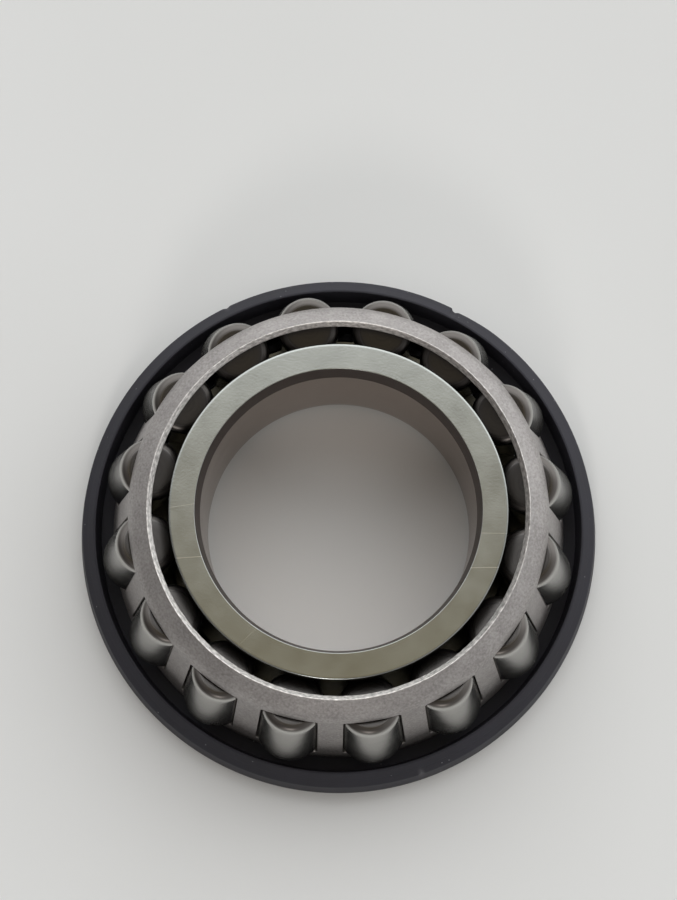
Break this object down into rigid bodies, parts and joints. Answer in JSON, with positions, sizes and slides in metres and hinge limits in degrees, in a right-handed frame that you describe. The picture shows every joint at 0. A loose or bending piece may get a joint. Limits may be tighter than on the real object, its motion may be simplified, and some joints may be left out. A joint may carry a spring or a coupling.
{
  "type": "tapered roller bearing",
  "caption": "Cone side of a tapered roller bearing: ground inner ring, tapered rollers in a pressed steel cage, and a black rubber lip seal on the large rib.",
  "frame": {"origin": "centre of the inner ring's back face, which is the surface the part rests on", "axes": "+Z along the bearing's axis, towards the rollers' small ends; +X through the axis of roller_01"},
  "size_m": [0.0502, 0.0502, 0.0158],
  "materials": {
    "ring_steel": "fine ground",
    "roller_steel": "satin ground",
    "cage_steel": "matte, pressed and tumbled",
    "case_steel": "blackened, satin",
    "seal_rubber": "moulded, satin"
  },
  "bodies": {
    "inner_ring": {"inner_ring": "ring_steel", "seal_case": "case_steel", "seal_rubber": "seal_rubber"},
    "cage": {"cage": "cage_steel"},
    "roller_01": {"roller_01": "roller_steel"},
    "roller_02": {"roller_02": "roller_steel"},
    "roller_03": {"roller_03": "roller_steel"},
    "roller_04": {"roller_04": "roller_steel"},
    "roller_05": {"roller_05": "roller_steel"},
    "roller_06": {"roller_06": "roller_steel"},
    "roller_07": {"roller_07": "roller_steel"},
    "roller_08": {"roller_08": "roller_steel"},
    "roller_09": {"roller_09": "roller_steel"},
    "roller_10": {"roller_10": "roller_steel"},
    "roller_11": {"roller_11": "roller_steel"},
    "roller_12": {"roller_12": "roller_steel"},
    "roller_13": {"roller_13": "roller_steel"},
    "roller_14": {"roller_14": "roller_steel"},
    "roller_15": {"roller_15": "roller_steel"},
    "roller_16": {"roller_16": "roller_steel"}
  },
  "joints": [
    {"name": "cage_spin", "type": "hinge", "parent": "inner_ring", "child": "cage", "pos_m": [0, 0, 0.00737], "axis": [0, 0, 1], "continuous": true},
    {"name": "roller_01_spin", "type": "hinge", "parent": "cage", "child": "roller_01", "pos_m": [0.01867, 0, 0.00824], "axis": [-0.225, 0, 0.9744], "continuous": true},
    {"name": "roller_02_spin", "type": "hinge", "parent": "cage", "child": "roller_02", "pos_m": [0.01724, 0.00714, 0.00824], "axis": [-0.2078, -0.0861, 0.9744], "continuous": true},
    {"name": "roller_03_spin", "type": "hinge", "parent": "cage", "child": "roller_03", "pos_m": [0.0132, 0.0132, 0.00824], "axis": [-0.1591, -0.1591, 0.9744], "continuous": true},
    {"name": "roller_04_spin", "type": "hinge", "parent": "cage", "child": "roller_04", "pos_m": [0.00714, 0.01724, 0.00824], "axis": [-0.0861, -0.2078, 0.9744], "continuous": true},
    {"name": "roller_05_spin", "type": "hinge", "parent": "cage", "child": "roller_05", "pos_m": [0, 0.01867, 0.00824], "axis": [0, -0.225, 0.9744], "continuous": true},
    {"name": "roller_06_spin", "type": "hinge", "parent": "cage", "child": "roller_06", "pos_m": [-0.00714, 0.01724, 0.00824], "axis": [0.0861, -0.2078, 0.9744], "continuous": true},
    {"name": "roller_07_spin", "type": "hinge", "parent": "cage", "child": "roller_07", "pos_m": [-0.0132, 0.0132, 0.00824], "axis": [0.1591, -0.1591, 0.9744], "continuous": true},
    {"name": "roller_08_spin", "type": "hinge", "parent": "cage", "child": "roller_08", "pos_m": [-0.01724, 0.00714, 0.00824], "axis": [0.2078, -0.0861, 0.9744], "continuous": true},
    {"name": "roller_09_spin", "type": "hinge", "parent": "cage", "child": "roller_09", "pos_m": [-0.01867, 0, 0.00824], "axis": [0.225, 0, 0.9744], "continuous": true},
    {"name": "roller_10_spin", "type": "hinge", "parent": "cage", "child": "roller_10", "pos_m": [-0.01724, -0.00714, 0.00824], "axis": [0.2078, 0.0861, 0.9744], "continuous": true},
    {"name": "roller_11_spin", "type": "hinge", "parent": "cage", "child": "roller_11", "pos_m": [-0.0132, -0.0132, 0.00824], "axis": [0.1591, 0.1591, 0.9744], "continuous": true},
    {"name": "roller_12_spin", "type": "hinge", "parent": "cage", "child": "roller_12", "pos_m": [-0.00714, -0.01724, 0.00824], "axis": [0.0861, 0.2078, 0.9744], "continuous": true},
    {"name": "roller_13_spin", "type": "hinge", "parent": "cage", "child": "roller_13", "pos_m": [0, -0.01867, 0.00824], "axis": [0, 0.225, 0.9744], "continuous": true},
    {"name": "roller_14_spin", "type": "hinge", "parent": "cage", "child": "roller_14", "pos_m": [0.00714, -0.01724, 0.00824], "axis": [-0.0861, 0.2078, 0.9744], "continuous": true},
    {"name": "roller_15_spin", "type": "hinge", "parent": "cage", "child": "roller_15", "pos_m": [0.0132, -0.0132, 0.00824], "axis": [-0.1591, 0.1591, 0.9744], "continuous": true},
    {"name": "roller_16_spin", "type": "hinge", "parent": "cage", "child": "roller_16", "pos_m": [0.01724, -0.00714, 0.00824], "axis": [-0.2078, 0.0861, 0.9744], "continuous": true}
  ],
  "couplings": [
    {"joint": "roller_01_spin", "follows": "cage_spin", "ratio": 5.22},
    {"joint": "roller_02_spin", "follows": "cage_spin", "ratio": 5.22},
    {"joint": "roller_03_spin", "follows": "cage_spin", "ratio": 5.22},
    {"joint": "roller_04_spin", "follows": "cage_spin", "ratio": 5.22},
    {"joint": "roller_05_spin", "follows": "cage_spin", "ratio": 5.22},
    {"joint": "roller_06_spin", "follows": "cage_spin", "ratio": 5.22},
    {"joint": "roller_07_spin", "follows": "cage_spin", "ratio": 5.22},
    {"joint": "roller_08_spin", "follows": "cage_spin", "ratio": 5.22},
    {"joint": "roller_09_spin", "follows": "cage_spin", "ratio": 5.22},
    {"joint": "roller_10_spin", "follows": "cage_spin", "ratio": 5.22},
    {"joint": "roller_11_spin", "follows": "cage_spin", "ratio": 5.22},
    {"joint": "roller_12_spin", "follows": "cage_spin", "ratio": 5.22},
    {"joint": "roller_13_spin", "follows": "cage_spin", "ratio": 5.22},
    {"joint": "roller_14_spin", "follows": "cage_spin", "ratio": 5.22},
    {"joint": "roller_15_spin", "follows": "cage_spin", "ratio": 5.22},
    {"joint": "roller_16_spin", "follows": "cage_spin", "ratio": 5.22}
  ]
}
